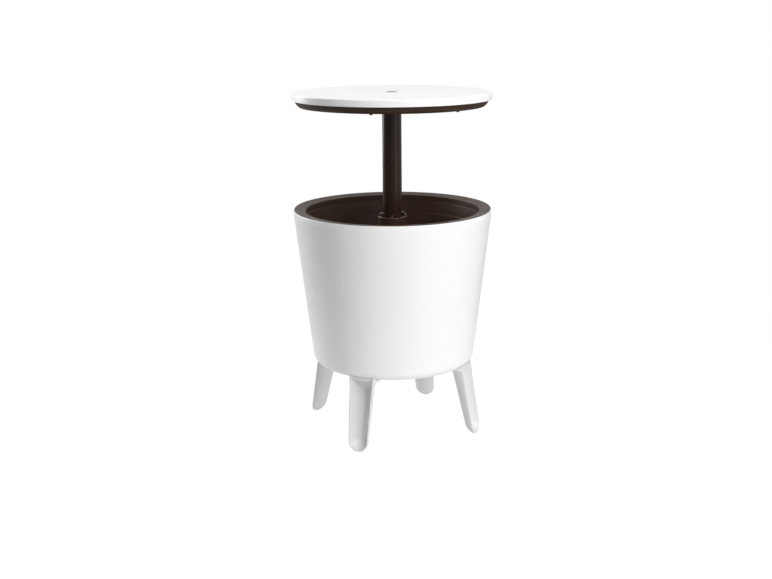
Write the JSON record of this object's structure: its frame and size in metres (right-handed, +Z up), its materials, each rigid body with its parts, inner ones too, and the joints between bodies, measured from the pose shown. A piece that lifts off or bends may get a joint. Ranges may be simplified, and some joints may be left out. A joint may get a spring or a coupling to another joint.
{
  "type": "ice bucket coffee table",
  "caption": "Round side table whose top lifts on a telescoping centre tube to open an insulated ice bucket; white tapered tub, dark liner, scooped splayed legs.",
  "frame": {"origin": "on the table's upright axis, at floor level under the legs", "axes": "+Z up along the centre tube; +Y towards the drain; X across, with the legs on the diagonals"},
  "size_m": [0.49, 0.49, 0.849],
  "materials": {
    "white_plastic": "satin moulded",
    "brown_plastic": "satin moulded",
    "tube_plastic": "semi-gloss",
    "dark_plastic": "satin moulded",
    "seal_rubber": "matt",
    "screw_steel": "zinc plated"
  },
  "bodies": {
    "bucket": {"outer_shell": "white_plastic", "liner": "brown_plastic", "centre_post": "brown_plastic", "post_gasket": "seal_rubber", "post_nut": "brown_plastic", "post_collar": "brown_plastic", "leg_1": "white_plastic", "leg_screw_1a": "screw_steel", "leg_screw_1b": "screw_steel", "leg_2": "white_plastic", "leg_screw_2a": "screw_steel", "leg_screw_2b": "screw_steel", "leg_3": "white_plastic", "leg_screw_3a": "screw_steel", "leg_screw_3b": "screw_steel", "leg_4": "white_plastic", "leg_screw_4a": "screw_steel", "leg_screw_4b": "screw_steel"},
    "lift_guide": {"guide_bush": "dark_plastic"},
    "table_top": {"lift_tube": "tube_plastic", "tube_foot_plug": "dark_plastic", "top_plate": "white_plastic", "top_pan": "brown_plastic", "centre_screw": "dark_plastic", "pan_screw_1": "screw_steel", "pan_screw_2": "screw_steel", "pan_screw_3": "screw_steel", "pan_screw_4": "screw_steel", "pan_screw_5": "screw_steel", "pan_screw_6": "screw_steel"},
    "drain": {"drain_plug": "dark_plastic", "drain_seal": "seal_rubber"}
  },
  "joints": [
    {"name": "lift", "type": "slide", "parent": "bucket", "child": "lift_guide", "axis": [0, 0, 1], "range_m": [-0.253, 0]},
    {"name": "twist_lock", "type": "hinge", "parent": "lift_guide", "child": "table_top", "pos_m": [0, 0, 0.499], "axis": [0, 0, 1], "range_deg": [0, 45]},
    {"name": "drain_pull", "type": "slide", "parent": "bucket", "child": "drain", "axis": [0, 0, -1], "range_m": [0, 0.06]}
  ]
}
